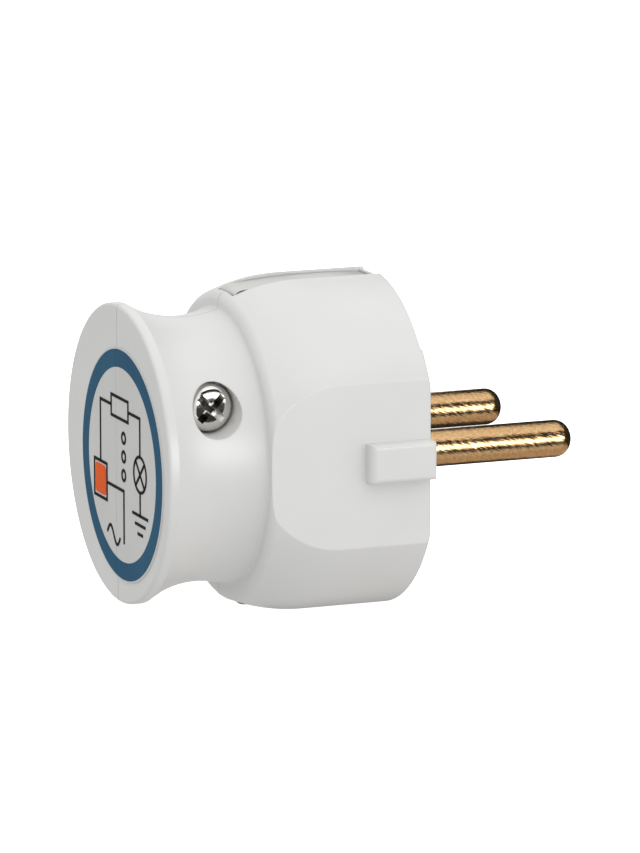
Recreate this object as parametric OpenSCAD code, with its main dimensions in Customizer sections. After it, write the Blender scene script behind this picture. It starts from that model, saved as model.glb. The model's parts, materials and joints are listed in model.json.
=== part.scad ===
// Round side-earth test plug with a mushroom grip.
// The housing is moulded in two halves that meet on the upright plane through the plug's axis.
// X runs along the axis towards the pin tips, Z is up, and the near half lies on the -Y side.
// The origin is the centre of the engagement face. All sizes are in millimetres.

/* [Pins] */
// Diameter of each round pin
pin_d = 4; // [3.6:0.1:4.4]
// Distance between the pin axes
pin_spacing = 19; // [17:0.5:20]
// Free length of each pin in front of the engagement face
pin_len = 18.5; // [15:0.1:22]
// Rounding of the pin tips
pin_tip_round = 1.7; // [0.4:0.1:1.8]
// Diameter of the pin's root inside the carrier
root_d = 4.6; // [4.2:0.1:5.2]
// Diameter of the collar that the clamp plate traps in the carrier
collar_d = 6.4; // [5.4:0.2:7]
// Thickness of the pin collar
collar_t = 1.2; // [0.8:0.1:2]
// Diameter of the pin's stem between the collar and the board
stem_d = 3; // [2.6:0.1:3.6]
// Diameter of the tail that each pin sends through the board
tail_d = 2; // [1.4:0.1:2.4]

/* [Body] */
// Diameter of the round body
body_d = 36; // [34:0.5:39]
// Length of the body from the engagement face to its rear wall
body_len = 17.9; // [17:0.1:20]
// Length over which the body draws in towards its rear wall
barrel_len = 7.9; // [6:0.1:8.4]
// Radius of the lengthways curve that draws the body in
barrel_r = 19; // [17:0.5:30]
// Rounding between that curve and the rear wall
shoulder_r = 1.2; // [0.8:0.1:1.6]
// Distance across the two side flats
flats_w = 31.4; // [30:0.2:33]
// Rounding of the rim round the engagement face
face_round = 0.5; // [0.2:0.1:1]
// Thickness of the housing wall
wall = 2; // [1.8:0.05:2.2]
// Depth of the step that sets the upper rim back from the engagement face
rim_step = 0.35; // [0.2:0.05:0.8]
// Angle above the pin line at which the stepped rim begins
rim_step_angle = 39.5; // [30:0.5:55]

/* [Grip] */
// Distance of the grip disc's rim inside the body's outline
grip_in = 2; // [1.6:0.05:2.6]
// Length of the grip from the body's rear wall to the grip face
grip_len = 11.4; // [10.4:0.1:13]
// Distance of the waist inside the body's outline
waist_in = 3.85; // [3.75:0.05:4.4]
// Distance from the body's rear wall back to the narrowest part of the waist
waist_back = 3.9; // [3:0.1:4.5]
// Lengthways radius of the hollow waist
flank_r = 11.9; // [10:0.1:14]
// Rounding of the grip disc's rim
grip_round = 0.35; // [0.15:0.05:0.8]
// Fillet in the crease between the waist and the rear wall
crease_r = 0.4; // [0.2:0.05:0.5]

/* [Guide ribs] */
// Length of the guide rib on each side flat
rib_len = 7.3; // [6:0.1:11]
// Width of the guide rib
rib_w = 4.1; // [3:0.1:7]
// Height of the guide rib above the flat
rib_h = 1.6; // [1.2:0.1:2.2]
// Distance of the near rib's middle above the pin line, and of the far rib's below it
rib_up = 0.3; // [0:0.1:1]
// Rounding of the guide rib's long edges
rib_round = 0.4; // [0.2:0.1:1.2]
// Rounding of the guide rib's rear edge
rib_end_round = 0.7; // [0.2:0.1:1.5]

/* [Carrier] */
// Thickness of the pin carrier
carrier_t = 4; // [3:0.2:5.5]
// Height of the flange that the housing grips round the carrier
flange_h = 0.9; // [0.5:0.1:1]
// Thickness of that flange
flange_t = 1.6; // [1:0.1:2.4]
// Thickness of the plate that clamps the pin collars
clamp_t = 1.6; // [1.2:0.1:2.4]
// Width of the clamp plate
clamp_w = 8; // [7.4:0.2:10]
// Diameter of the clamp screws
clamp_screw_d = 2; // [1.6:0.1:2.4]
// Diameter of the clamp screws' heads
clamp_head_d = 3.6; // [3:0.1:4.2]
// Height of the clamp screws' heads
clamp_head_h = 1.2; // [0.8:0.1:1.6]
// Length of the clamp screws under their heads
clamp_screw_len = 4; // [3:0.2:4.4]
// Distance of each clamp screw from the plug's axis
clamp_screw_out = 3.4; // [3:0.1:4]

/* [Earth strip] */
// Width of the earth strip
strip_w = 4.4; // [3:0.2:6]
// Thickness of the earth strip
strip_t = 0.7; // [0.5:0.1:1]
// Depth of the strip's crown below the body's surface at the top and bottom
strip_sunk = 0.45; // [0:0.05:0.6]
// Radius of the strip's lengthways arch
strip_arch_r = 80; // [60:5:120]
// Distance from the engagement face to the crown of that arch
strip_crown = 6.5; // [4:0.5:9]
// Inside radius of the bend where the strip turns into the housing
strip_bend = 0.4; // [0.3:0.1:1]
// Distance from the engagement face to the strip's front end
strip_front = 0.9; // [0.7:0.1:3]
// Distance from the body's rear wall to the rear face of the strip
strip_rear = 0.9; // [0.8:0.1:1.4]
// Depth of the notch in the rim in front of the strip
notch_deep = 0.45; // [0.2:0.05:0.8]
// Width of the lugs that carry the strip on the board
lug_w = 1.8; // [1.2:0.1:2.4]
// Distance of each lug from the plug's axis
lug_out = 6.4; // [5:0.2:8]

/* [Housing screw] */
// Nominal diameter of the screw
screw_d = 3; // [2.5:0.1:3.5]
// Diameter of the screw head
head_d = 5.2; // [4.8:0.1:5.3]
// Height of the screw head
head_h = 2; // [1.6:0.1:2.6]
// Rounding of the screw head's edge
head_round = 1.2; // [0.6:0.1:1.5]
// Reach of the cross recess from the screw axis
recess_reach = 1.6; // [1.2:0.1:2]
// Width of the recess's arms
recess_w = 0.8; // [0.6:0.1:1]
// Depth of the recess
recess_deep = 1.2; // [0.6:0.1:1.4]
// Turn of the recess from upright
recess_turn = 45; // [0:5:85]
// Distance from the grip face to the screw axis
screw_from_face = 6.4; // [6.4:0.1:7.2]
// Height of the screw above the plug's axis
screw_up = 6.4; // [5.8:0.1:6.8]
// Diameter of the well that the head sits in
well_d = 5.6; // [5.5:0.1:6.2]
// Depth of the well's floor inside the split plane
well_floor = 8.8; // [7.6:0.1:9]
// Diameter of the washer under the head
washer_d = 5.3; // [4.8:0.1:5.4]
// Thickness of the washer
washer_t = 0.5; // [0.3:0.1:0.8]
// Diameter of the screw bosses
boss_d = 8.4; // [7.6:0.2:9]
// Width of the square nut across its flats
nut_w = 5.5; // [5:0.1:5.8]
// Thickness of the square nut
nut_t = 2.2; // [1.6:0.1:2.6]
// Plastic between the split plane and the nut
nut_cover = 3; // [2:0.2:4]
// Length of screw beyond the nut
screw_tip = 1; // [0.4:0.1:1.6]

/* [Test circuit] */
// Diameter of the round circuit board
board_d = 26; // [25:0.2:26.4]
// Thickness of the board
board_t = 1.6; // [1:0.1:2]
// Clear distance between the pin carrier and the board
board_gap = 5.6; // [5:0.2:6]
// Length of lead, tail or lug that stands out beyond the board
tail_out = 1; // [0.6:0.1:1.4]
// Diameter of the glow lamp's glass
lamp_d = 4.4; // [4:0.1:5.4]
// Length of the glow lamp's glass
lamp_len = 9; // [7:0.2:10]
// Wall of the glow lamp's glass
lamp_wall = 0.5; // [0.3:0.1:0.7]
// Clearance between the lamp and the earth strip
lamp_clear = 0.4; // [0.3:0.1:1.4]
// Distance of the lamp below the plug's axis
lamp_down = 3.6; // [3:0.1:4.2]
// Distance between the lamp's two electrodes
electrode_pitch = 2.2; // [2:0.1:2.4]
// Diameter of the lamp's electrodes
electrode_d = 0.9; // [0.8:0.05:1]
// Height of the cup that holds the lamp on the board
cup_h = 3.4; // [2.6:0.2:4.4]
// Wall and floor of that cup
cup_wall = 0.6; // [0.4:0.1:0.8]
// Diameter of the light pipe behind the label
pipe_d = 4; // [3:0.1:4.4]
// Diameter of the light pipe's flange
pipe_flange_d = 5.6; // [5:0.1:6]
// Thickness of the light pipe's flange
pipe_flange_t = 1; // [0.8:0.1:1.4]
// Gap between the lamp's tip and the light pipe
pipe_gap = 0.4; // [0.2:0.1:0.8]
// Diameter of the resistors
resistor_d = 2.4; // [1.8:0.1:2.8]
// Length of the resistor bodies
resistor_len = 6.4; // [5:0.2:7]
// Length of the end caps of the resistors
cap_len = 1.6; // [1:0.1:2]
// Step of the end caps above the body between them
cap_step = 0.2; // [0.1:0.05:0.3]
// Distance of the resistors from the split plane
resistor_side = 6; // [5:0.1:6.4]
// Distance of each resistor's middle from the pin line
resistor_out = 6.2; // [6:0.1:6.6]
// Height of the resistors' axes above the board
resistor_up = 1.6; // [1.5:0.1:1.9]
// Diameter of the component leads
lead_d = 0.6; // [0.4:0.1:0.8]
// Straight lead between a resistor's body and its bend
lead_reach = 1.2; // [0.8:0.1:1.6]
// Diameter of a solder joint round a lead
solder_d = 1.8; // [1.4:0.1:1.9]
// Height of a solder joint
solder_h = 0.7; // [0.4:0.1:0.8]

/* [Label] */
// Diameter of the round face label
label_d = 25; // [20:0.2:26]
// Thickness of the label
label_t = 0.2; // [0.1:0.05:0.4]
// Distance of the label's centre towards the near half
label_near = 1.8; // [0:0.1:2.2]
// Distance of the label's centre below the axis
label_down = 0.9; // [0:0.1:1.2]

/* [Fits] */
// Gap between the two halves along the visible seam
seam_gap = 0.06; // [0.04:0.02:0.2]
// Clearance of pieces that drop into a pocket or groove
seat_gap = 0.1; // [0.05:0.05:0.2]
// Radial running clearance of the screw in its bores
run_gap = 0.06; // [0.03:0.01:0.1]
// Radial clearance of leads and electrodes in their holes
lead_gap = 0.04; // [0.02:0.01:0.08]
// Diameter of the pegs that line up the two halves
peg_d = 1.8; // [1.4:0.1:2.2]
// Length of the pegs beyond the split plane
peg_len = 2; // [1.4:0.1:3]

/* [Hidden] */
$fn = 96;
// Overshoot that lets a cut pass clean through a face
cut = 1;
// Overlap where one rounded face runs into the next
blend = 0.01;
// Radii and half widths that other pieces share
body_r = body_d / 2;
grip_r = body_r - grip_in;
waist_r = body_r - waist_in;
flat_half = flats_w / 2;
half_seam = seam_gap / 2;
// Stations along the axis
crease_x = -body_len;
face_x = crease_x - grip_len;
face_inner_x = face_x + wall;
rear_inner_x = crease_x + wall;
flank_x = crease_x - waist_back;
barrel_x = crease_x + barrel_len;
carrier_x = -carrier_t;
flange_front_x = carrier_x + flange_t;
clamp_x = carrier_x - clamp_t;
board_front_x = carrier_x - board_gap;
board_rear_x = board_front_x - board_t;
// Centres of the curves that shape the rear of the body and the waist
barrel_c = body_r - barrel_r;
corner_x = crease_x + shoulder_r - blend;
corner_c = barrel_c + sqrt(pow(barrel_r - shoulder_r + blend, 2) - pow(corner_x - barrel_x, 2));
flank_c = waist_r + flank_r;
fillet_x = crease_x - crease_r + blend;
fillet_c = flank_c - sqrt(pow(flank_r - crease_r + blend, 2) - pow(fillet_x - flank_x, 2));
// Hollow of the housing
cavity_r = flat_half - wall;
neck_r = waist_r - wall;
nose_r = cavity_r - seat_gap;
flange_r = cavity_r + flange_h;
// Earth strip
strip_rear_x = crease_x + strip_rear;
strip_top = body_r - strip_sunk;
strip_arch_z = strip_top - strip_arch_r;
strip_bend_x = strip_rear_x + strip_t + strip_bend;
strip_bend_z = strip_arch_z
  + sqrt(pow(strip_arch_r - strip_t - strip_bend, 2) - pow(strip_bend_x + strip_crown, 2));
strip_lean = (strip_bend_x + strip_crown) / (strip_arch_r - strip_t - strip_bend);
lug_tip_x = board_front_x + tail_out;
// Housing screw
screw_x = face_x + screw_from_face;
head_y = -well_floor - washer_t;
screw_end_y = nut_cover + nut_t + screw_tip;
// Glow lamp
lamp_side = strip_w / 2 + lamp_clear + lamp_d / 2;
lamp_x = board_rear_x - cup_wall;
lamp_tip_x = lamp_x - lamp_len;
pipe_x = lamp_tip_x - pipe_gap;
electrode_base_x = lamp_x - lamp_wall;
electrode_len = lamp_len - 3 * lamp_wall - lamp_d / 2;
// Resistors and solder
solder_rim = solder_h / 4;
resistor_x = board_rear_x - resistor_up;
resistor_legs = resistor_len / 2 + lead_reach;
// Holes in the board, as (distance across the split plane, height)
resistor_spots = [
  for (side = [-1, 1], end = [-1, 1])
    [-resistor_side, side * resistor_out + end * resistor_legs]
];
electrode_spots = [for (end = [-1, 1]) [lamp_side, end * electrode_pitch / 2 - lamp_down]];
lead_spots = concat(resistor_spots, electrode_spots);
// Lined-up pegs in the thick upper and lower walls
peg_x = flange_front_x - carrier_t;
peg_z = (cavity_r + strip_top - strip_t) / 2;

// Turns a profile drawn as (radius, station) about the plug's axis
module turned() {
  rotate([0, 90, 0])
    rotate_extrude()
      children();
}

// A round bar along the axis between two stations
module bar(r, from_x, to_x) {
  translate([from_x, 0, 0])
    rotate([0, 90, 0])
      cylinder(r = r, h = to_x - from_x);
}

// A round bar across the split plane between two distances from it
module cross_bar(r, from_y, to_y) {
  translate([0, from_y, 0])
    rotate([-90, 0, 0])
      cylinder(r = r, h = to_y - from_y);
}

// A block between two opposite corners
module block(low, high) {
  translate(low)
    cube(high - low);
}

// What a rounded corner of radius r leaves out of a square one
module corner_waste(r) {
  difference() {
    square(r + cut);
    circle(r);
  }
}

// Places a shape at each of the pin axes
module at_pins() {
  for (side = [-1, 1])
    translate([0, side * pin_spacing / 2, 0])
      children();
}

// Places a shape at the top and, turned over, at the bottom
module top_and_bottom() {
  for (turn = [0, 180])
    rotate([turn, 0, 0])
      children();
}

// What the rounding leaves out where the drawn-in body meets its rear wall
module shoulder_waste() {
  share = (barrel_r + cut) / (barrel_r - shoulder_r);
  out_r = barrel_c + (corner_c - barrel_c) * share;
  out_x = barrel_x + (corner_x - barrel_x) * share;
  difference() {
    polygon([
      [corner_c, crease_x - cut],
      [corner_c, corner_x],
      [out_r, out_x],
      [out_r, crease_x - cut]
    ]);
    translate([corner_c, corner_x])
      circle(shoulder_r);
  }
}

// Half section of the body, as (radius, station)
module body_profile() {
  difference() {
    union() {
      translate([0, barrel_x])
        square([body_r, -barrel_x]);
      intersection() {
        translate([0, crease_x])
          square([body_r, body_len]);
        translate([barrel_c, barrel_x])
          circle(barrel_r);
      }
    }
    shoulder_waste();
    translate([body_r - face_round, -face_round])
      corner_waste(face_round);
  }
}

// Half section of the grip with its hollow waist
module grip_profile() {
  difference() {
    translate([0, face_x])
      square([grip_r, grip_len + cut]);
    translate([flank_c, flank_x])
      circle(flank_r);
    translate([grip_r - grip_round, face_x + grip_round])
      mirror([0, 1])
        corner_waste(grip_round);
  }
}

// Half section of the fillet between the waist and the rear wall
module crease_profile() {
  share = flank_r / (flank_r - crease_r);
  foot_r = flank_c + (fillet_c - flank_c) * share;
  foot_x = flank_x + (fillet_x - flank_x) * share;
  root_r = waist_r - wall / 2;
  difference() {
    polygon([
      [root_r, foot_x],
      [foot_r, foot_x],
      [fillet_c, fillet_x],
      [fillet_c, crease_x + blend],
      [root_r, crease_x + blend]
    ]);
    translate([fillet_c, fillet_x])
      circle(crease_r);
  }
}

// Guide rib on the far side flat, with its long edges and its rear edge rounded
module guide_rib() {
  root_y = cavity_r + wall / 2;
  top_y = flat_half + rib_h;
  half = rib_w / 2;
  intersection() {
    translate([-rib_len, 0, -rib_up])
      rotate([90, 0, 90])
        linear_extrude(rib_len)
          difference() {
            translate([root_y, -half])
              square([top_y - root_y, rib_w]);
            translate([top_y - rib_round, half - rib_round])
              corner_waste(rib_round);
            translate([top_y - rib_round, rib_round - half])
              mirror([0, 1])
                corner_waste(rib_round);
          }
    translate([0, 0, -rib_w])
      linear_extrude(2 * rib_w)
        difference() {
          translate([-rib_len, root_y])
            square([rib_len, top_y - root_y]);
          translate([rib_end_round - rib_len, top_y - rib_end_round])
            mirror([1, 0])
              corner_waste(rib_end_round);
        }
  }
}

// Outer form of the whole housing
module housing_form() {
  difference() {
    turned() {
      body_profile();
      grip_profile();
      crease_profile();
    }
    for (side = [0, 180])
      rotate([side, 0, 0])
        block([crease_x, flat_half, -body_r], [cut, body_r + cut, body_r]);
    block([-rim_step, -body_r, body_r * sin(rim_step_angle)], [cut, body_r, body_r + cut]);
  }
  guide_rib();
  rotate([180, 0, 0])
    guide_rib();
}

// Hollow that the shells share, less the screw bosses that cross it
module housing_hollow() {
  bar(neck_r, face_inner_x, rear_inner_x + cut);
  bar(cavity_r, rear_inner_x, cut);
  bar(flange_r + seat_gap, carrier_x - seat_gap, flange_front_x + seat_gap);
}

// Room under the strip's outer face, seen from the side, drawn in by an inset
module strip_room(inset) {
  bend = strip_bend + strip_t - inset;
  intersection() {
    translate([-strip_crown, strip_arch_z])
      circle(strip_arch_r - inset);
    translate([strip_rear_x + inset, -cut])
      square([-strip_rear_x, body_r + 2 * cut]);
    union() {
      translate([strip_bend_x, strip_bend_z])
        circle(bend);
      translate([strip_bend_x + strip_lean * bend, -cut])
        square([-strip_rear_x, body_r + 2 * cut]);
      translate([strip_rear_x, -cut])
        square([-strip_rear_x, strip_bend_z + cut]);
    }
  }
}

// Groove and slot that take the earth strip
module strip_seat() {
  half = strip_w / 2 + seat_gap;
  translate([0, half, 0])
    rotate([90, 0, 0])
      linear_extrude(2 * half)
        union() {
          difference() {
            translate([strip_rear_x - seat_gap, 0])
              square([-strip_rear_x - strip_front + 2 * seat_gap, body_r + cut]);
            strip_room(strip_t + seat_gap);
          }
          translate([-strip_front, body_r - notch_deep])
            square([strip_front + cut, notch_deep + cut]);
        }
}

module at_screw() {
  translate([screw_x, 0, screw_up])
    children();
}

// The part of the housing on one side of the split plane
module near_side() {
  block([face_x - cut, -body_r - cut, -body_r - cut], [cut, -half_seam, body_r + cut]);
}

module far_side() {
  block([face_x - cut, half_seam, -body_r - cut], [cut, body_r + cut, body_r + cut]);
}

module at_pegs() {
  for (side = [-1, 1])
    translate([peg_x, 0, side * peg_z])
      children();
}

module near_shell() {
  color("white")
    difference() {
      union() {
        intersection() {
          difference() {
            housing_form();
            housing_hollow();
          }
          near_side();
        }
        intersection() {
          at_screw()
            cross_bar(boss_d / 2, -body_r, 0);
          bar(waist_r - wall / 2, face_inner_x - wall / 2, rear_inner_x);
        }
        at_pegs()
          cross_bar(peg_d / 2, -peg_len, peg_len);
      }
      top_and_bottom()
        strip_seat();
      at_screw() {
        cross_bar(screw_d / 2 + run_gap, -body_r, cut);
        cross_bar(well_d / 2, -body_r, -well_floor);
      }
    }
}

module nut_slot() {
  half = nut_w / 2 + seat_gap;
  at_screw()
    block([-half, nut_cover - seat_gap, -boss_d], [half, nut_cover + nut_t + seat_gap, half]);
}

module far_shell() {
  color("white")
    difference() {
      union() {
        intersection() {
          difference() {
            housing_form();
            housing_hollow();
          }
          far_side();
        }
        intersection() {
          at_screw()
            cross_bar(boss_d / 2, 0, body_r);
          bar(waist_r - wall / 2, face_inner_x - wall / 2, rear_inner_x);
        }
      }
      top_and_bottom()
        strip_seat();
      at_screw()
        cross_bar(screw_d / 2 + run_gap, -cut, screw_end_y + screw_tip);
      nut_slot();
      at_pegs()
        cross_bar(peg_d / 2 + seat_gap, -cut, peg_len + seat_gap);
      at_lamp()
        bar(pipe_d / 2 + seat_gap, face_x - cut, face_inner_x + cut);
    }
}

module housing_screw() {
  color("silver")
    at_screw()
      difference() {
        union() {
          cross_bar(screw_d / 2, head_y - head_h / 2, screw_end_y);
          rotate([-90, 0, 0])
            rotate_extrude()
              pan_profile();
        }
        cross_recess();
      }
}

// Half section of the pan head, as (radius, distance from the split plane)
module pan_profile() {
  difference() {
    translate([0, head_y - head_h])
      square([head_d / 2, head_h]);
    translate([head_d / 2 - head_round, head_y - head_h + head_round])
      mirror([0, 1])
        corner_waste(head_round);
  }
}

module cross_recess() {
  half = recess_w / 2;
  top_y = head_y - head_h;
  for (turn = [0, 90])
    rotate([0, recess_turn + turn, 0])
      block([-recess_reach, top_y - cut, -half], [recess_reach, top_y + recess_deep, half]);
}

module screw_washer() {
  color("silver")
    at_screw()
      difference() {
        cross_bar(washer_d / 2, head_y, -well_floor);
        cross_bar(screw_d / 2 + run_gap, head_y - cut, -well_floor + cut);
      }
}

module housing_nut() {
  half = nut_w / 2;
  color("silver")
    at_screw()
      difference() {
        block([-half, nut_cover, -half], [half, nut_cover + nut_t, half]);
        cross_bar(screw_d / 2 + run_gap, 0, body_r);
      }
}

module pin_carrier() {
  color("ivory")
    difference() {
      union() {
        bar(nose_r, carrier_x, 0);
        bar(flange_r, carrier_x, flange_front_x);
      }
      at_pins() {
        bar(root_d / 2 + lead_gap, carrier_x - cut, cut);
        bar(collar_d / 2 + lead_gap, carrier_x - cut, carrier_x + collar_t);
      }
      at_clamp_screws()
        bar(clamp_screw_d / 2 + lead_gap, carrier_x - cut, clamp_x + clamp_screw_len + seat_gap);
    }
}

module at_clamp_screws() {
  for (side = [-1, 1])
    translate([0, 0, side * clamp_screw_out])
      children();
}

// One pin, drawn on its own axis
module pin() {
  color("goldenrod") {
    turned()
      difference() {
        translate([0, carrier_x])
          square([pin_d / 2, pin_len - carrier_x]);
        translate([pin_d / 2 - pin_tip_round, pin_len - pin_tip_round])
          corner_waste(pin_tip_round);
      }
    bar(root_d / 2, carrier_x, 0);
    bar(collar_d / 2, carrier_x, carrier_x + collar_t);
    bar(stem_d / 2, board_front_x, carrier_x + collar_t);
    bar(tail_d / 2, board_rear_x - tail_out, board_front_x + cut);
  }
}

module line_pin() {
  translate([0, -pin_spacing / 2, 0])
    pin();
}

module neutral_pin() {
  translate([0, pin_spacing / 2, 0])
    pin();
}

module clamp_plate() {
  reach = pin_spacing / 2;
  color("ivory")
    difference() {
      union() {
        block([clamp_x, -reach, -clamp_w / 2], [carrier_x, reach, clamp_w / 2]);
        at_pins()
          intersection() {
            bar(clamp_w / 2, clamp_x, carrier_x);
            bar(nose_r - reach, clamp_x, carrier_x);
          }
        block([clamp_x, -clamp_head_d, -clamp_screw_out - clamp_head_d],
              [carrier_x, clamp_head_d, clamp_screw_out + clamp_head_d]);
      }
      at_pins()
        bar(stem_d / 2 + lead_gap, clamp_x - cut, carrier_x + cut);
      at_clamp_screws()
        bar(clamp_screw_d / 2 + lead_gap, clamp_x - cut, carrier_x + cut);
    }
}

module clamp_screws() {
  color("silver")
    at_clamp_screws() {
      bar(clamp_screw_d / 2, clamp_x - clamp_head_h / 2, clamp_x + clamp_screw_len);
      bar(clamp_head_d / 2, clamp_x - clamp_head_h, clamp_x);
    }
}

// Upper half of the strip as it is bent, seen from the side
module strip_half() {
  intersection() {
    difference() {
      strip_room(0);
      strip_room(strip_t);
    }
    translate([strip_rear_x, -cut])
      square([-strip_rear_x - strip_front, body_r + 2 * cut]);
  }
}

module earth_bracket() {
  color("lightgray")
    top_and_bottom() {
      translate([0, strip_w / 2, 0])
        rotate([90, 0, 0])
          linear_extrude(strip_w)
            strip_half();
      block([strip_rear_x, -lug_w / 2, lug_out - strip_t / 2],
            [lug_tip_x, lug_w / 2, lug_out + strip_t / 2]);
    }
}

module at_lamp() {
  translate([0, lamp_side, -lamp_down])
    children();
}

module circuit_board() {
  lug_half = lug_w / 2 + seat_gap;
  lug_deep = strip_t / 2 + seat_gap;
  color("darkgreen")
    difference() {
      bar(board_d / 2, board_rear_x, board_front_x);
      at_pins()
        bar(tail_d / 2 + lead_gap, board_rear_x - cut, board_front_x + cut);
      for (spot = lead_spots)
        translate([0, spot[0], spot[1]])
          bar(lead_d / 2 + lead_gap, board_rear_x - cut, board_front_x + cut);
      for (side = [-1, 1])
        translate([0, 0, side * lug_out])
          block([board_rear_x - cut, -lug_half, -lug_deep], [board_front_x + cut, lug_half, lug_deep]);
    }
}

// A resistor along Z with both leads bent into the board
module resistor() {
  half = resistor_len / 2;
  translate([resistor_x, 0, -half])
    cylinder(d = resistor_d - 2 * cap_step, h = resistor_len);
  for (side = [0, 180])
    translate([resistor_x, 0, 0])
      rotate([side, 0, 0]) {
        translate([0, 0, half - cap_len])
          cylinder(d = resistor_d, h = cap_len);
        cylinder(d = lead_d, h = resistor_legs);
        translate([0, 0, resistor_legs]) {
          sphere(d = lead_d);
          bar(lead_d / 2, 0, board_front_x + tail_out - resistor_x);
        }
      }
}

module line_resistor() {
  color("tan")
    translate([0, -resistor_side, resistor_out])
      resistor();
}

module earth_resistor() {
  color("tan")
    translate([0, -resistor_side, -resistor_out])
      resistor();
}

// Half section of a round-ended tube, as (radius, station)
module bulb_profile(r, base_x) {
  translate([0, lamp_tip_x + lamp_d / 2])
    square([r, base_x - lamp_tip_x - lamp_d / 2]);
  translate([0, lamp_tip_x + lamp_d / 2])
    intersection() {
      circle(r);
      translate([0, -r])
        square(r);
    }
}

module lamp_glass() {
  color("whitesmoke", 0.5)
    difference() {
      at_lamp()
        turned()
          difference() {
            bulb_profile(lamp_d / 2, lamp_x);
            bulb_profile(lamp_d / 2 - lamp_wall, electrode_base_x);
          }
      electrode_holes();
    }
}

module electrode_holes() {
  for (spot = electrode_spots)
    translate([0, spot[0], spot[1]])
      bar(lead_d / 2 + lead_gap, electrode_base_x - cut, board_rear_x + cut);
}

module lamp_electrodes() {
  color("dimgray")
    for (spot = electrode_spots)
      translate([0, spot[0], spot[1]]) {
        bar(lead_d / 2, electrode_base_x - cut, board_front_x + tail_out);
        bar(electrode_d / 2, electrode_base_x - electrode_len, electrode_base_x);
      }
}

module lamp_holder() {
  bore_r = lamp_d / 2 + seat_gap;
  color("dimgray")
    difference() {
      at_lamp()
        difference() {
          bar(bore_r + cup_wall, board_rear_x - cup_h, board_rear_x);
          bar(bore_r, board_rear_x - cup_h - cut, lamp_x);
        }
      electrode_holes();
    }
}

module light_pipe() {
  color("orange", 0.7)
    at_lamp() {
      bar(pipe_d / 2, face_x, pipe_x);
      bar(pipe_flange_d / 2, face_inner_x, face_inner_x + pipe_flange_t);
    }
}

// A cone of solder on a face of the board, round a lead of radius r
module solder(r, foot_r, from_x, to_x) {
  translate([from_x, 0, 0])
    rotate([0, to_x > from_x ? 90 : -90, 0])
      difference() {
        cylinder(r1 = foot_r, r2 = r + lead_gap + solder_rim, h = solder_h);
        translate([0, 0, -cut])
          cylinder(r = r + lead_gap, h = solder_h + 2 * cut);
      }
}

module solder_joints() {
  lug_half = lug_w / 2 + lead_gap;
  lug_deep = strip_t / 2 + lead_gap;
  color("silver") {
    for (spot = lead_spots)
      translate([0, spot[0], spot[1]])
        solder(lead_d / 2, solder_d / 2, board_front_x, board_front_x + solder_h);
    at_pins()
      solder(tail_d / 2, (tail_d + solder_d) / 2, board_rear_x, board_rear_x - solder_h);
    for (side = [-1, 1])
      translate([0, 0, side * lug_out])
        difference() {
          bar((lug_w + solder_d) / 2, board_front_x, board_front_x + solder_h);
          block([board_front_x - cut, -lug_half, -lug_deep],
                [board_front_x + solder_h + cut, lug_half, lug_deep]);
        }
  }
}

module face_label() {
  color("lightsteelblue")
    translate([0, -label_near, -label_down])
      bar(label_d / 2, face_x - label_t, face_x);
}

near_shell();
far_shell();
housing_screw();
screw_washer();
housing_nut();
pin_carrier();
line_pin();
neutral_pin();
clamp_plate();
clamp_screws();
earth_bracket();
circuit_board();
line_resistor();
earth_resistor();
lamp_glass();
lamp_electrodes();
lamp_holder();
light_pipe();
solder_joints();
face_label();
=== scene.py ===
"""Looks of a round side-earth test plug: finishes, printed label, threaded screw, studio and camera."""
import json
import math

import bmesh
import bpy
from mathutils import Matrix, Vector


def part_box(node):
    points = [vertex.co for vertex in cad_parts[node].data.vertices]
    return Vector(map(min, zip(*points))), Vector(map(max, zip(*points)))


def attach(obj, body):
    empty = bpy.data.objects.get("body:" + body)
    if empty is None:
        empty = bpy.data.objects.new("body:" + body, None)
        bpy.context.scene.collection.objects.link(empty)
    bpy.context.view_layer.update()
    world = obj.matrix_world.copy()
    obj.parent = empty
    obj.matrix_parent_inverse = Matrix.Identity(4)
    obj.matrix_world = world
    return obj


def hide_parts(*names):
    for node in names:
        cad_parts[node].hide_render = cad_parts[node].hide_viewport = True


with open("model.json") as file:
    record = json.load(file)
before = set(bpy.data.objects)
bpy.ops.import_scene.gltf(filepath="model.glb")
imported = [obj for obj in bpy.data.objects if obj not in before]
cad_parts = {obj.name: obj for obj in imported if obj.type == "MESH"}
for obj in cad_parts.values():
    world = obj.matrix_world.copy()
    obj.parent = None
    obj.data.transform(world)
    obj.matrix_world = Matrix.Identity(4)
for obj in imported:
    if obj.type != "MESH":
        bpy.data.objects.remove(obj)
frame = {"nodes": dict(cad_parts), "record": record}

MM = 0.001
TURN = 2 * math.pi
NODES = frame["nodes"]
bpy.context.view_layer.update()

# Camera, fitted to the photograph's outline
IMAGE_HEIGHT_PX = 853
PX_PER_MM = 9.361
VIEW_DISTANCE = 0.7
VIEW_AZIMUTH = math.radians(-21.55)
VIEW_ELEVATION = math.radians(11.29)
VIEW_TARGET = Vector((-6.29, 0, 1.22)) * MM
SENSOR_MM = 36

# Printed label: box of the CAD label, border radii, heights above the grip face, widths, arc points
LABEL_LOW, LABEL_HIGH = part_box("face_label")
LABEL_MIDDLE = (Vector(LABEL_LOW) + Vector(LABEL_HIGH)) / 2
RING_IN, RING_OUT = 10.4 * MM, 12.3 * MM
BASE_T, RING_T, LINE_T, WINDOW_T = 0.13 * MM, 0.155 * MM, 0.19 * MM, 0.17 * MM
LINE_W = 0.32 * MM
WINDOW_SIZE = 3.2 * MM
SLIT = 0.06 * MM
RIM_STEPS, CIRCLE_STEPS, CORNER_STEPS = 128, 40, 7
MITRE_LIMIT = 0.4

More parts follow.
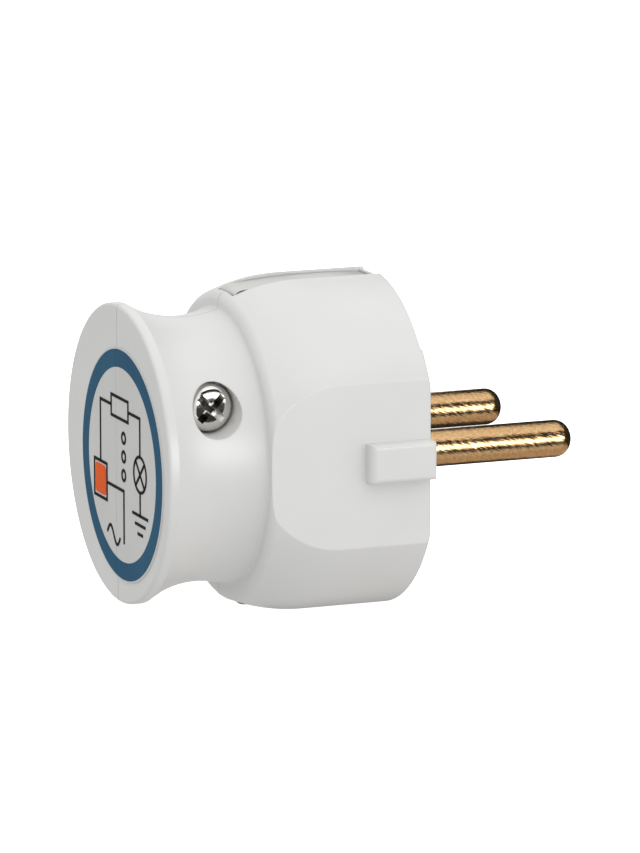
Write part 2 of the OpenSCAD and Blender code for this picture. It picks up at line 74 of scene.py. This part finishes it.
# Signs on the label, in millimetres from its middle
FRAME_GAP = 0.35
LOOP_TOP = 6.0
RESISTOR_LEFT, RESISTOR_RIGHT, RESISTOR_HALF = -3.2, 2.0, 1.1
LAMP_ACROSS, LAMP_R = 5.6, 1.9
EARTH_UP, EARTH_HALVES = -4.4, (2.4, 1.6, 0.8)
RETURN_ACROSS, RETURN_UP = 0.6, -8.4
DOT_LEVELS, DOT_R = (3.0, 1.0, -1.0), 0.55
WAVE_LEFT, WAVE_UP, WAVE_HIGH = -4.6, -8.0, 0.9
WAVE_STEP, WAVE_STEPS = 0.16, 25

# Screw: metric thread, with rows of points for each turn and segments round it
SHANK_R = 1.5 * MM
PITCH = 0.5 * MM
THREAD_DEEP = 0.27 * MM
THREAD_ROWS = 8
SCREW_SEGMENTS = 48
SHARP_DEG = 35

# Its head: the seat as a share of the radius, chamfer and rim of the height, and the dome's exponent
HEAD_SEAT, HEAD_CHAMFER, HEAD_RIM = 0.97, 0.04, 0.35
HEAD_CROWN, HEAD_ROWS = 0.42, 14

# Its recess: the reach is a share of the head's radius, scaled by more at the top than at the floor
RECESS_DEEP, RECESS_ABOVE = 1.25 * MM, 0.4 * MM
RECESS_HALF_W, RECESS_REACH = 0.40 * MM, 0.70
RECESS_TOP, RECESS_FLOOR = 1.25, 0.45

# Finishes: range of a noise from dark to light, scale of stains, range over which a face turns sideways
# and takes painted shade
NOISE_LOW, NOISE_HIGH = 0.3, 0.7
STAIN = 0.12
SIDE_FROM, SIDE_TO = 0.6, 0.9
EDGE_SAMPLES, HOLLOW_SAMPLES = 8, 12
WHITE, BLACK = (1, 1, 1), (0, 0, 0)

# Studio: sizes and places in metres; the world's strength is a level plus a slope along the axes
FLOOR_SIZE, FLOOR_UP = 5, -0.5
DOME_R = 2.2
KEY_SIZE, KEY_PLACE, KEY_POWER = (0.5, 0.3), (0.15, -0.55, 0.65), 0.25
WORLD_SLOPE, WORLD_LEVEL, WORLD_COLOUR = (0.14, -0.12, 0.30), 0.85, (1.0, 1.0, 0.995, 1.0)


def material(name, metallic=0.0):
    """A new node material with its tree and Principled shader."""
    made = bpy.data.materials.new(name)
    made.use_nodes = True
    shader = made.node_tree.nodes["Principled BSDF"]
    shader.inputs["Metallic"].default_value = metallic
    return made, made.node_tree, shader


def coordinates(tree, scale=(1, 1, 1), turn=(0, 0, 0), source="Object"):
    """Object coordinates in millimetres, or generated ones from 0 to 1, turned and then stretched."""
    place = tree.nodes.new("ShaderNodeTexCoord")
    turned = tree.nodes.new("ShaderNodeMapping")
    turned.inputs["Rotation"].default_value = turn
    stretched = tree.nodes.new("ShaderNodeVectorMath")
    stretched.operation = "MULTIPLY"
    unit = 1 / MM if source == "Object" else 1
    stretched.inputs[1].default_value = [unit * s for s in scale]
    tree.links.new(place.outputs[source], turned.inputs["Vector"])
    tree.links.new(turned.outputs["Vector"], stretched.inputs[0])
    return stretched.outputs["Vector"]


def noise(tree, vector, scale=1.0, detail=3.0):
    """A grey noise with features of about 1 / scale millimetres."""
    made = tree.nodes.new("ShaderNodeTexNoise")
    made.inputs["Scale"].default_value = scale
    made.inputs["Detail"].default_value = detail
    tree.links.new(vector, made.inputs["Vector"])
    return made.outputs["Fac"]


def ramp(tree, fac, stops, constant=False):
    """A colour ramp; each stop is (place, colour)."""
    made = tree.nodes.new("ShaderNodeValToRGB")
    made.color_ramp.interpolation = "CONSTANT" if constant else "LINEAR"
    elements = made.color_ramp.elements
    while len(elements) < len(stops):
        elements.new(1.0)
    for element, (place, colour) in zip(elements, stops):
        element.position = place
        element.color = (*colour, 1.0)
    tree.links.new(fac, made.inputs["Fac"])
    return made.outputs["Color"]


def spread(tree, fac, low, high):
    """Stretches the middle of a noise over the range from low to high."""
    made = tree.nodes.new("ShaderNodeMapRange")
    made.inputs["From Min"].default_value = NOISE_LOW
    made.inputs["From Max"].default_value = NOISE_HIGH
    made.inputs["To Min"].default_value = low
    made.inputs["To Max"].default_value = high
    tree.links.new(fac, made.inputs["Value"])
    return made.outputs["Result"]


def bump(tree, shader, height, deep):
    """Bump of a given depth in metres on the shader's normal."""
    made = tree.nodes.new("ShaderNodeBump")
    made.inputs["Strength"].default_value = 1.0
    made.inputs["Distance"].default_value = deep
    tree.links.new(height, made.inputs["Height"])
    tree.links.new(made.outputs["Normal"], shader.inputs["Normal"])


def mottled(name, dark, light, rough, grain, deep, metallic=0.0, scale=(1, 1, 1)):
    """A finish with broad stains of two colours, and roughness and bump from a finer noise."""
    made, tree, shader = material(name, metallic)
    fine = noise(tree, coordinates(tree, scale), grain, detail=4.0)
    broad = noise(tree, coordinates(tree), STAIN, detail=2.0)
    colour = ramp(tree, broad, [(NOISE_LOW, dark), (NOISE_HIGH, light)])
    tree.links.new(colour, shader.inputs["Base Color"])
    tree.links.new(spread(tree, fine, *rough), shader.inputs["Roughness"])
    bump(tree, shader, fine, deep * MM)
    return made, tree, shader


def soften_edges(tree, shader, radius):
    """Shades edges as if slightly rounded, under the bump."""
    soft = tree.nodes.new("ShaderNodeBevel")
    soft.samples = EDGE_SAMPLES
    soft.inputs["Radius"].default_value = radius
    bump_node = shader.inputs["Normal"].links[0].from_node
    tree.links.new(soft.outputs["Normal"], bump_node.inputs["Normal"])


def darken_hollows(tree, shader, reach, own):
    """Paints shade into the base colour in narrow hollows, of the piece's own or also beside its
    neighbours.
    """
    hollow = tree.nodes.new("ShaderNodeAmbientOcclusion")
    hollow.samples = HOLLOW_SAMPLES
    hollow.only_local = own
    hollow.inputs["Distance"].default_value = reach
    tree.links.new(shader.inputs["Base Color"].links[0].from_socket, hollow.inputs["Color"])
    tree.links.new(hollow.outputs["Color"], shader.inputs["Base Color"])


def dull_and_shade_sides(tree, shader, shade):
    """Takes the shine off faces that look across the plug, such as the sheared sides of a strip, and
    darkens their colour with painted shade.
    """
    place = tree.nodes.new("ShaderNodeTexCoord")
    parts = tree.nodes.new("ShaderNodeSeparateXYZ")
    across = tree.nodes.new("ShaderNodeMath")
    across.operation = "ABSOLUTE"
    product = tree.nodes.new("ShaderNodeVectorMath")
    product.operation = "MULTIPLY"
    tree.links.new(place.outputs["Normal"], parts.inputs["Vector"])
    tree.links.new(parts.outputs["Y"], across.inputs[0])
    # Painted shade: sideways faces get a darker colour, and lose their metal.
    shades, metal = (
        ramp(tree, across.outputs["Value"], [(SIDE_FROM, WHITE), (SIDE_TO, side)])
        for side in ((shade, shade, shade), BLACK)
    )
    tree.links.new(metal, shader.inputs["Metallic"])
    tree.links.new(shader.inputs["Base Color"].links[0].from_socket, product.inputs[0])
    tree.links.new(shades, product.inputs[1])
    tree.links.new(product.outputs["Vector"], shader.inputs["Base Color"])


def housing_finish():
    """White moulding with faintly rounded edges."""
    made, tree, shader = mottled(
        "moulded_white", (0.71, 0.71, 0.702), (0.73, 0.73, 0.722),
        rough=(0.34, 0.42), grain=6.0, deep=0.0025,
    )
    soften_edges(tree, shader, 0.25 * MM)
    return made


def brass_finish():
    """Drawn brass with slanting scratches and a slight tarnish."""
    made, tree, shader = material("drawn_brass", metallic=1.0)
    slant = coordinates(tree, (0.2, 4.5, 4.5), (0, math.radians(-30), 0))
    scratch = noise(tree, slant, detail=5.0)
    tarnish = noise(tree, coordinates(tree), scale=3.0, detail=5.0)
    dull, bright = (0.52, 0.32, 0.15), (0.66, 0.43, 0.22)
    colour = ramp(tree, tarnish, [(NOISE_LOW, dull), (NOISE_HIGH, bright)])
    tree.links.new(colour, shader.inputs["Base Color"])
    tree.links.new(spread(tree, scratch, 0.08, 0.24), shader.inputs["Roughness"])
    bump(tree, shader, scratch, 0.045 * MM)
    return made


def nickel_finish():
    """Bright plating, with painted shade darkening its colour in the recess."""
    made, tree, shader = mottled(
        "nickel_plate", (0.71, 0.69, 0.66), (0.84, 0.81, 0.785),
        rough=(0.06, 0.16), grain=4.0, deep=0.004, metallic=1.0,
    )
    # Painted shade: the colour darkens in the cross recess and other hollows of the screw itself.
    darken_hollows(tree, shader, 0.75 * MM, own=True)
    return made


def strip_finish():
    """Plated strip, brushed along its length, with dull sides darkened by painted shade, and painted
    shade along its edges in its slot.
    """
    made, tree, shader = mottled(
        "brushed_strip", (0.66, 0.66, 0.64), (0.78, 0.78, 0.76),
        rough=(0.28, 0.42), grain=1.0, deep=0.003, metallic=1.0, scale=(0.3, 9.0, 9.0),
    )
    # Painted shade: the strip's sides are dulled and darkened, standing in for the shade in its slot.
    dull_and_shade_sides(tree, shader, 0.2)
    # Painted shade: the colour darkens where the strip lies close to the slot's walls.
    darken_hollows(tree, shader, 0.5 * MM, own=False)
    return made


def board_finish():
    """Green laminate with straight paler tracks under the lacquer."""
    made, tree, shader = material("green_laminate")
    tracks = tree.nodes.new("ShaderNodeTexBrick")
    tracks.inputs["Color1"].default_value = (0.028, 0.13, 0.055, 1)
    tracks.inputs["Color2"].default_value = (0.034, 0.15, 0.065, 1)
    tracks.inputs["Mortar"].default_value = (0.09, 0.27, 0.12, 1)
    tracks.inputs["Scale"].default_value = 1.0
    tracks.inputs["Mortar Size"].default_value = 0.12
    tracks.inputs["Brick Width"].default_value = 4.6
    tracks.inputs["Row Height"].default_value = 1.7
    face_on = coordinates(tree, turn=(0, TURN / 4, 0))
    tree.links.new(face_on, tracks.inputs["Vector"])
    tree.links.new(tracks.outputs["Color"], shader.inputs["Base Color"])
    weave = noise(tree, coordinates(tree, (1, 5, 5)), detail=2.0)
    tree.links.new(spread(tree, weave, 0.28, 0.42), shader.inputs["Roughness"])
    bump(tree, shader, weave, 0.006 * MM)
    return made


def resistor_finish():
    """Lacquered body with colour rings between two tinned leads, told apart along the resistor."""
    made, tree, shader = material("banded_resistor")
    parts = tree.nodes.new("ShaderNodeSeparateXYZ")
    tree.links.new(coordinates(tree, source="Generated"), parts.inputs["Vector"])
    along = parts.outputs["Z"]
    body_from, body_to = 0.155, 0.845
    tin, tan = (0.62, 0.62, 0.64), (0.56, 0.40, 0.22)
    brown, black, gold = (0.10, 0.04, 0.02), (0.02, 0.02, 0.02), (0.55, 0.36, 0.10)
    bands = [
        (0.0, tin), (body_from, tan), (0.26, brown), (0.31, tan), (0.41, black), (0.46, tan),
        (0.54, brown), (0.59, tan), (0.70, gold), (0.75, tan), (body_to, tin),
    ]
    tree.links.new(ramp(tree, along, bands, constant=True), shader.inputs["Base Color"])
    metal = ramp(tree, along, [(0.0, WHITE), (body_from, BLACK), (body_to, WHITE)], constant=True)
    tree.links.new(metal, shader.inputs["Metallic"])
    fine = noise(tree, coordinates(tree), scale=5.0)
    tree.links.new(spread(tree, fine, 0.3, 0.45), shader.inputs["Roughness"])
    bump(tree, shader, fine, 0.004 * MM)
    return made


def clear_finish(name, dark, light, transmission, rough, grain):
    """Glass or acrylic with a faint unevenness."""
    made, _, shader = mottled(name, dark, light, rough, grain, deep=0.001)
    shader.inputs["Transmission Weight"].default_value = transmission
    shader.inputs["IOR"].default_value = 1.5
    return made


def printed_finish(name, dark, light):
    """Ink on label film, with little sheen."""
    made, _, shader = mottled(name, dark, light, rough=(0.42, 0.5), grain=3.0, deep=0.002)
    shader.inputs["Specular IOR Level"].default_value = 0.03
    return made


FINISHES = {
    "housing": housing_finish(),
    "plated_steel": nickel_finish(),
    "insulator": mottled(
        "thermoset", (0.62, 0.60, 0.54), (0.70, 0.68, 0.62),
        rough=(0.45, 0.6), grain=3.0, deep=0.006,
    )[0],
    "pin_brass": brass_finish(),
    "earth_metal": strip_finish(),
    "board": board_finish(),
    "resistor_body": resistor_finish(),
    "lamp_glass": clear_finish(
        "clear_glass", (0.93, 0.94, 0.94), (0.97, 0.98, 0.98),
        transmission=0.95, rough=(0.02, 0.05), grain=0.5,
    ),
    "electrode_metal": mottled(
        "drawn_wire", (0.42, 0.41, 0.40), (0.55, 0.54, 0.52),
        rough=(0.25, 0.4), grain=6.0, deep=0.002, metallic=1.0,
    )[0],
    "lamp_cup": mottled(
        "black_moulding", (0.02, 0.02, 0.022), (0.035, 0.035, 0.037),
        rough=(0.4, 0.55), grain=5.0, deep=0.006,
    )[0],
    "light_pipe": clear_finish(
        "orange_acrylic", (0.80, 0.20, 0.03), (0.92, 0.30, 0.06),
        transmission=0.6, rough=(0.1, 0.2), grain=1.0,
    ),
    "solder": mottled(
        "bright_solder", (0.55, 0.55, 0.57), (0.72, 0.72, 0.74),
        rough=(0.22, 0.4), grain=2.5, deep=0.02, metallic=1.0,
    )[0],
    "label": printed_finish("label_film", (0.63, 0.633, 0.625), (0.67, 0.673, 0.665)),
}


def paint(obj, finish):
    """Gives every face of an object one finish."""
    obj.data.materials.clear()
    obj.data.materials.append(finish)


def dress_nodes():
    """Gives each CAD node the finish of its slot."""
    for part in frame["record"]["subparts"]:
        paint(NODES[part["node"]], FINISHES[part["material_slot"]])


def link_object(name, data):
    """A new object in the scene."""
    made = bpy.data.objects.new(name, data)
    bpy.context.scene.collection.objects.link(made)
    return made


def object_of(mesh, name):
    """Turns a bmesh into an object and frees it."""
    data = bpy.data.meshes.new(name)
    mesh.to_mesh(data)
    mesh.free()
    return link_object(name, data)


def add_piece(name, mesh, body, finish):
    """Turns a bmesh into a piece that rides on a body."""
    bmesh.ops.recalc_face_normals(mesh, faces=mesh.faces)
    made = object_of(mesh, name)
    paint(made, finish)
    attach(made, body)
    return made


def label_point(across, up, height):
    """A point of the label, seen from behind the grip: across to the right, up, and above the face."""
    return Vector((LABEL_HIGH[0] - height, LABEL_MIDDLE.y - across, LABEL_MIDDLE.z + up))


def add_prism(mesh, outline, height):
    """A flat closed prism on the grip face under an outline of (across, up) points."""
    floor = [mesh.verts.new(label_point(a, b, 0)) for a, b in outline]
    roof = [mesh.verts.new(label_point(a, b, height)) for a, b in outline]
    mesh.faces.new(floor)
    mesh.faces.new(roof)
    for i in range(len(outline)):
        j = (i + 1) % len(outline)
        mesh.faces.new((floor[i], floor[j], roof[j], roof[i]))


def add_band(mesh, outer, inner, height):
    """A closed band between two outlines with the same number of points."""
    rings = [
        [mesh.verts.new(label_point(a, b, h)) for a, b in outline]
        for outline, h in ((outer, 0), (outer, height), (inner, height), (inner, 0))
    ]
    count = len(outer)
    for ring, following in zip(rings, rings[1:] + rings[:1]):
        for i in range(count):
            j = (i + 1) % count
            mesh.faces.new((ring[i], ring[j], following[j], following[i]))


def arc(centre, radius, steps, start=0.0, end=TURN):
    """Points of an arc; a full turn leaves out its last point."""
    count = steps if end - start >= TURN else steps - 1
    angles = [start + (end - start) * i / count for i in range(steps)]
    return [(centre[0] + radius * math.cos(t), centre[1] + radius * math.sin(t)) for t in angles]


def offset(points, distance, closed):
    """A line moved sideways by a distance, with mitred corners."""
    moved = []
    count = len(points)
    for i, (a, b) in enumerate(points):
        before = points[i - 1] if closed or i > 0 else None
        after = points[(i + 1) % count] if closed or i < count - 1 else None
        sides = []
        if before:
            sides.append(Vector((a - before[0], b - before[1])).normalized())
        if after:
            sides.append(Vector((after[0] - a, after[1] - b)).normalized())
        along = sum(sides, Vector((0, 0))).normalized()
        across = Vector((-along.y, along.x))
        reach = distance / max(MITRE_LIMIT, abs(across.dot(Vector((-sides[0].y, sides[0].x)))))
        moved.append((a + across.x * reach, b + across.y * reach))
    return moved


def add_line(mesh, points, closed=False):
    """A printed line along a path given in millimetres from the label's middle."""
    path = [(a * MM, b * MM) for a, b in points]
    left = offset(path, LINE_W / 2, closed)
    right = offset(path, -LINE_W / 2, closed)
    if closed:
        add_band(mesh, left, right, LINE_T)
    else:
        add_prism(mesh, left + right[::-1], LINE_T)


def circle_line(mesh, centre, radius):
    """A printed circle."""
    add_line(mesh, arc(centre, radius, CIRCLE_STEPS), closed=True)


def box_line(mesh, low, high):
    """A printed box between two corners."""
    add_line(mesh, [low, (high[0], low[1]), high, (low[0], high[1])], closed=True)


def slit_pieces(name, draw, finish):
    """A part of the label, slit along the housing's seam: one piece on each half of the housing."""
    pieces = []
    for half, body, side in (("far", "plug_body", 1), ("near", "near_half", -1)):
        mesh = bmesh.new()
        draw(mesh)
        mesh.normal_update()
        bmesh.ops.triangulate(mesh, faces=mesh.faces)
        bmesh.ops.bisect_plane(
            mesh, geom=[*mesh.verts, *mesh.edges, *mesh.faces],
            plane_co=(0, side * SLIT / 2, 0), plane_no=(0, -side, 0), clear_outer=True,
        )
        open_edges = [edge for edge in mesh.edges if edge.is_boundary]
        bmesh.ops.holes_fill(mesh, edges=open_edges, sides=0)
        pieces.append(add_piece(name + "_" + half, mesh, body, finish))
    return pieces


def label_base():
    """White film of the label, which stands for the CAD label."""
    outline = arc((0, 0), (LABEL_HIGH[1] - LABEL_LOW[1]) / 2, RIM_STEPS)
    film = slit_pieces("label_base", lambda mesh: add_prism(mesh, outline, BASE_T), FINISHES["label"])
    for piece in film:
        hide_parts("face_label")


def label_ring():
    """Blue border of the label."""
    finish = printed_finish("blue_print", (0.022, 0.095, 0.175), (0.03, 0.115, 0.20))
    outer, inner = (arc((0, 0), radius, RIM_STEPS) for radius in (RING_OUT, RING_IN))
    slit_pieces("label_ring", lambda mesh: add_band(mesh, outer, inner, RING_T), finish)


def window_middle():
    """Where the light pipe ends behind the label, as (across, up) in metres from the label's middle."""
    low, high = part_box("light_pipe")
    pipe = (Vector(low) + Vector(high)) / 2
    return LABEL_MIDDLE.y - pipe.y, pipe.z - LABEL_MIDDLE.z


def label_window():
    """Orange field that the lamp lights from behind."""
    finish = printed_finish("orange_print", (0.78, 0.105, 0.018), (0.86, 0.135, 0.025))
    across, up = window_middle()
    half, corner = WINDOW_SIZE / 2, WINDOW_SIZE / 8
    outline = []
    for quarter, (right, top) in enumerate(((1, 1), (-1, 1), (-1, -1), (1, -1))):
        centre = (across + right * (half - corner), up + top * (half - corner))
        outline += arc(centre, corner, CORNER_STEPS, quarter * TURN / 4, (quarter + 1) * TURN / 4)
    mesh = bmesh.new()
    add_prism(mesh, outline, WINDOW_T)
    add_piece("label_window", mesh, "plug_body", finish)


def draw_signs(mesh):
    """Generic circuit signs: a loop with a resistor and a lamp, an earth sign and a wave."""
    across, up = (v / MM for v in window_middle())
    half = WINDOW_SIZE / MM / 2 + FRAME_GAP
    box_line(mesh, (across - half, up - half), (across + half, up + half))
    add_line(mesh, [(across, up + half), (across, LOOP_TOP), (RESISTOR_LEFT, LOOP_TOP)])
    box_line(
        mesh, (RESISTOR_LEFT, LOOP_TOP - RESISTOR_HALF), (RESISTOR_RIGHT, LOOP_TOP + RESISTOR_HALF)
    )
    add_line(mesh, [(RESISTOR_RIGHT, LOOP_TOP), (LAMP_ACROSS, LOOP_TOP), (LAMP_ACROSS, LAMP_R)])
    circle_line(mesh, (LAMP_ACROSS, 0), LAMP_R)
    reach = LAMP_R * math.cos(TURN / 8)
    for lean in (-1, 1):
        add_line(mesh, [(LAMP_ACROSS - reach, -lean * reach), (LAMP_ACROSS + reach, lean * reach)])
    add_line(mesh, [(LAMP_ACROSS, -LAMP_R), (LAMP_ACROSS, EARTH_UP)])
    for row, bar in enumerate(EARTH_HALVES):
        add_line(mesh, [(LAMP_ACROSS - bar, EARTH_UP - row), (LAMP_ACROSS + bar, EARTH_UP - row)])
    add_line(mesh, [(across + half, up), (RETURN_ACROSS, up), (RETURN_ACROSS, RETURN_UP)])
    add_line(mesh, [
        (WAVE_LEFT + WAVE_STEP * i, WAVE_UP + WAVE_HIGH * math.sin(TURN * i / WAVE_STEPS))
        for i in range(WAVE_STEPS + 1)
    ])
    for level in DOT_LEVELS:
        circle_line(mesh, (RETURN_ACROSS, level), DOT_R)


def label_lines():
    """Black print of the label."""
    finish = printed_finish("black_print", (0.008, 0.008, 0.009), (0.014, 0.014, 0.015))
    slit_pieces("label_lines", draw_signs, finish)


def screw_rows(tip_y, head_y, top_y, head_r):
    """Rows of the screw, from tip to head, as (place across the plug, radius, thread depth)."""
    rows = [(tip_y, SHANK_R - 2 * THREAD_DEEP, 0.0)]
    for i in range(1, int((tip_y - head_y) / PITCH * THREAD_ROWS)):
        y = tip_y - i * PITCH / THREAD_ROWS
        fade = min(1.0, (tip_y - y) / PITCH, (y - head_y) / PITCH / 2)
        rows.append((y, SHANK_R - THREAD_DEEP * (1 - fade), THREAD_DEEP * fade))
    head_h = head_y - top_y
    rim = HEAD_RIM * head_h
    rows += [
        (head_y, SHANK_R - THREAD_DEEP, 0.0),
        (head_y, head_r * HEAD_SEAT, 0.0),
        (head_y - HEAD_CHAMFER * head_h, head_r, 0.0),
        (head_y - rim, head_r, 0.0),
    ]
    for i in range(1, HEAD_ROWS):
        t = TURN / 4 * i / HEAD_ROWS
        y = head_y - rim - (head_h - rim) * math.sin(t)
        rows.append((y, head_r * math.cos(t) ** HEAD_CROWN, 0.0))
    return rows


def threaded_screw():
    """Pan-head screw with a cut thread and a tapered cross recess, in place of the plain CAD screw."""
    low, high = (Vector(c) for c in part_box("housing_screw"))
    middle = (low + high) / 2
    head_r = (high.x - low.x) / 2
    head_y = Vector(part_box("screw_washer")[0]).y
    mesh = bmesh.new()
    rings = []
    for y, radius, deep in screw_rows(high.y, head_y, low.y, head_r):
        ring = []
        for i in range(SCREW_SEGMENTS):
            angle = TURN * i / SCREW_SEGMENTS
            phase = (y / PITCH + i / SCREW_SEGMENTS) % 1.0
            r = radius - deep * abs(2 * phase - 1)
            place = (middle.x + r * math.cos(angle), y, middle.z + r * math.sin(angle))
            ring.append(mesh.verts.new(place))
        rings.append(ring)
    for ring, following in zip(rings, rings[1:]):
        for i in range(SCREW_SEGMENTS):
            j = (i + 1) % SCREW_SEGMENTS
            mesh.faces.new((ring[i], ring[j], following[j], following[i]))
    mesh.faces.new(rings[0])
    crown = mesh.verts.new((middle.x, low.y, middle.z))
    for i in range(SCREW_SEGMENTS):
        mesh.faces.new((rings[-1][i], rings[-1][(i + 1) % SCREW_SEGMENTS], crown))
    made = add_piece("threaded_screw", mesh, "screw", FINISHES["plated_steel"])
    cut_recess(made, middle, low.y, head_r)
    smooth(made)
    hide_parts("housing_screw")


def cut_recess(screw, middle, top_y, head_r):
    """Cuts a cross recess whose arms narrow towards its floor."""
    sides = ((0, 1, 2, 3), (4, 5, 6, 7), (0, 1, 5, 4), (1, 2, 6, 5), (2, 3, 7, 6), (3, 0, 4, 7))
    for turn in (TURN / 8, 3 * TURN / 8):
        mesh = bmesh.new()
        corners = []
        for y, share in ((top_y - RECESS_ABOVE, RECESS_TOP), (top_y + RECESS_DEEP, RECESS_FLOOR)):
            long, wide = RECESS_REACH * head_r * share, RECESS_HALF_W * (0.5 + share / 2)
            for a, b in ((-1, -1), (1, -1), (1, 1), (-1, 1)):
                corners.append(mesh.verts.new((a * long, y, b * wide)))
        for side in sides:
            mesh.faces.new([corners[i] for i in side])
        bmesh.ops.recalc_face_normals(mesh, faces=mesh.faces)
        bmesh.ops.rotate(mesh, verts=mesh.verts, matrix=Matrix.Rotation(turn, 3, "Y"))
        bmesh.ops.translate(mesh, verts=mesh.verts, vec=(middle.x, 0, middle.z))
        apply_difference(screw, object_of(mesh, "recess_tool"))


def apply_difference(target, tool):
    """Takes a tool's shape out of a target and deletes the tool."""
    step = target.modifiers.new("cut", "BOOLEAN")
    step.operation = "DIFFERENCE"
    step.solver = "EXACT"
    step.object = tool
    bpy.context.view_layer.update()
    graph = bpy.context.evaluated_depsgraph_get()
    shape = bpy.data.meshes.new_from_object(target.evaluated_get(graph))
    target.modifiers.clear()
    target.data = shape
    bpy.data.objects.remove(tool)


def smooth(obj):
    """Smooth shading, with edges above an angle left sharp."""
    for face in obj.data.polygons:
        face.use_smooth = True
    limit = math.radians(SHARP_DEG)
    mesh = bmesh.new()
    mesh.from_mesh(obj.data)
    for edge in mesh.edges:
        edge.smooth = len(edge.link_faces) == 2 and edge.calc_face_angle(0.0) < limit
    mesh.to_mesh(obj.data)
    mesh.free()


def stage_finish(name, dark, light, rough, glow, tint=WHITE):
    """Finish of a stage piece, which may shine in a tint."""
    made, _, shader = mottled(name, (dark,) * 3, (light,) * 3, rough, grain=0.02, deep=0.01)
    shader.inputs["Emission Color"].default_value = (*tint, 1)
    shader.inputs["Emission Strength"].default_value = glow
    return made


def backdrop_finish(name, glow):
    """Even white that shines a little, so that no shade is left in the background."""
    return stage_finish(name, 0.95, 0.97, (0.6, 0.7), glow)


def hide_from_light(obj, shadow=False):
    """Keeps a stage piece out of the light that falls on the plug and out of its reflections."""
    obj.visible_diffuse = False
    obj.visible_glossy = False
    obj.visible_transmission = False
    obj.visible_shadow = shadow


def plane(name, size, place, facing):
    """A flat stage piece of a given size, turned to face a direction."""
    mesh = bmesh.new()
    bmesh.ops.create_grid(mesh, x_segments=1, y_segments=1, size=0.5)
    made = object_of(mesh, name)
    made.scale = (*size, 1)
    made.location = place
    made.rotation_euler = Vector(facing).to_track_quat("Z", "Y").to_euler()
    return made


def pale_floor():
    """Wide pale floor, low enough to keep the plug's shadow out of the picture."""
    floor = plane("floor", (FLOOR_SIZE, FLOOR_SIZE), (0, 0, FLOOR_UP), (0, 0, 1))
    paint(floor, backdrop_finish("pale_floor", 0.15))
    hide_from_light(floor, shadow=True)


def pale_dome():
    """White dome round the studio, near enough for every view, which only the camera sees."""
    mesh = bmesh.new()
    bmesh.ops.create_uvsphere(mesh, u_segments=48, v_segments=24, radius=DOME_R)
    dome = object_of(mesh, "dome")
    paint(dome, backdrop_finish("pale_dome", 1.0))
    hide_from_light(dome)


def card(name, size, place, glow=0.0, tint=WHITE):
    """A black or glowing studio card that only reflections see, turned towards the plug."""
    made = plane(name, size, place, -Vector(place))
    paint(made, stage_finish(name, 0.01, 0.02, (0.8, 0.9), glow, tint))
    hide_from_light(made)
    made.visible_glossy = True
    made.visible_camera = False


def studio_cards():
    """Dark flags and bright cards that draw the bands on the pins, the screw and the flats."""
    card("pin_flag", (0.12, 0.15), (0.085, 0.055, 0.03))
    card("tip_flag", (0.2, 0.16), (0.12, 0.0, 0.0))
    card("high_flag", (0.7, 0.26), (0.19, -0.46, 0.35))
    card("low_flag", (0.7, 0.24), (0.21, -0.5, -0.16))
    card("strip_card", (0.7, 0.14), (0.21, -0.52, 0.065), glow=7.0)
    card("gap_flag", (0.04, 0.04), (0.018, 0.025, -0.0286))
    card("warm_card", (0.12, 0.09), (0.05, 0.0, -0.065), glow=0.6, tint=(1.0, 0.86, 0.74))


def key_light():
    """A large soft light from above on the near side, which points at the plug."""
    data = bpy.data.lights.new("key", "AREA")
    data.shape = "RECTANGLE"
    data.size, data.size_y = KEY_SIZE
    data.energy = KEY_POWER
    made = link_object("key", data)
    made.location = KEY_PLACE
    made.rotation_euler = Vector(KEY_PLACE).to_track_quat("Z", "Y").to_euler()


def studio_world():
    """Soft light from all round, brighter above and towards the near right."""
    world = bpy.data.worlds.new("studio")
    bpy.context.scene.world = world
    world.use_nodes = True
    tree = world.node_tree
    place = tree.nodes.new("ShaderNodeTexCoord")
    slope = tree.nodes.new("ShaderNodeVectorMath")
    slope.operation = "DOT_PRODUCT"
    slope.inputs[1].default_value = WORLD_SLOPE
    level = tree.nodes.new("ShaderNodeMath")
    level.inputs[1].default_value = WORLD_LEVEL
    sky = tree.nodes["Background"]
    sky.inputs["Color"].default_value = WORLD_COLOUR
    tree.links.new(place.outputs["Generated"], slope.inputs[0])
    tree.links.new(slope.outputs["Value"], level.inputs[0])
    tree.links.new(level.outputs["Value"], sky.inputs["Strength"])


def photo_camera():
    """Camera at the photograph's angle and framing."""
    data = bpy.data.cameras.new("camera")
    made = link_object("camera", data)
    back = Vector((
        math.sin(VIEW_AZIMUTH) * math.cos(VIEW_ELEVATION),
        -math.cos(VIEW_AZIMUTH) * math.cos(VIEW_ELEVATION),
        math.sin(VIEW_ELEVATION),
    ))
    made.location = VIEW_TARGET + back * VIEW_DISTANCE
    made.rotation_euler = back.to_track_quat("Z", "Y").to_euler()
    data.sensor_width = SENSOR_MM
    data.lens = PX_PER_MM / MM * VIEW_DISTANCE / IMAGE_HEIGHT_PX * SENSOR_MM
    data.clip_start, data.clip_end = 0.01, 100
    bpy.context.scene.camera = made


dress_nodes()
label_base()
label_ring()
label_window()
label_lines()
threaded_screw()
pale_floor()
pale_dome()
studio_world()
key_light()
studio_cards()
photo_camera()
bpy.context.scene.view_settings.view_transform = "Standard"
